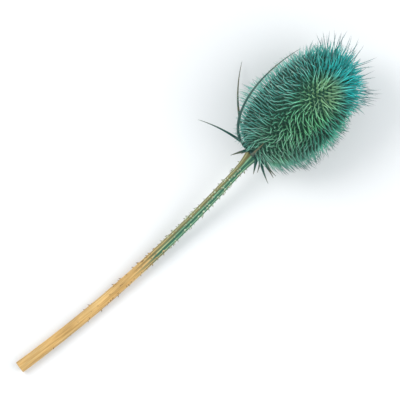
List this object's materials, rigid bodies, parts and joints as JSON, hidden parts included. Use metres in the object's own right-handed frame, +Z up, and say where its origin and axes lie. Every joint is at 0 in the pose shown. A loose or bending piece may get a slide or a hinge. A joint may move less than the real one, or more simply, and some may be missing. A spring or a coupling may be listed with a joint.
{
  "type": "teasel seed head",
  "caption": "Dried, dyed teasel head lying on its side: an egg-shaped head of long spines, a whorl of whisker-like bracts and a ribbed, prickly cut stem.",
  "frame": {"origin": "on the surface it lies on, under the middle of the whole thing's bounding box", "axes": "+Z up from the surface, +X from the cut end of the stem to the tip of the head, +Y to the left of that"},
  "size_m": [0.2446, 0.0672, 0.0574],
  "materials": {
    "dyed_spines": "dry, matt plant fibre dyed blue-green, yellower green low down and in the middle, bluer at the crown",
    "dyed_bracts": "dry, matt plant fibre dyed dark green, with brown where the dye is thin",
    "dyed_stem": "dry straw with a faint shine, dyed teal in the half below the head and fading to bare straw at the cut"
  },
  "bodies": {
    "root": {"seed_head": "dyed_spines", "involucral_bracts": "dyed_bracts", "stem": "dyed_stem"}
  },
  "joints": []
}
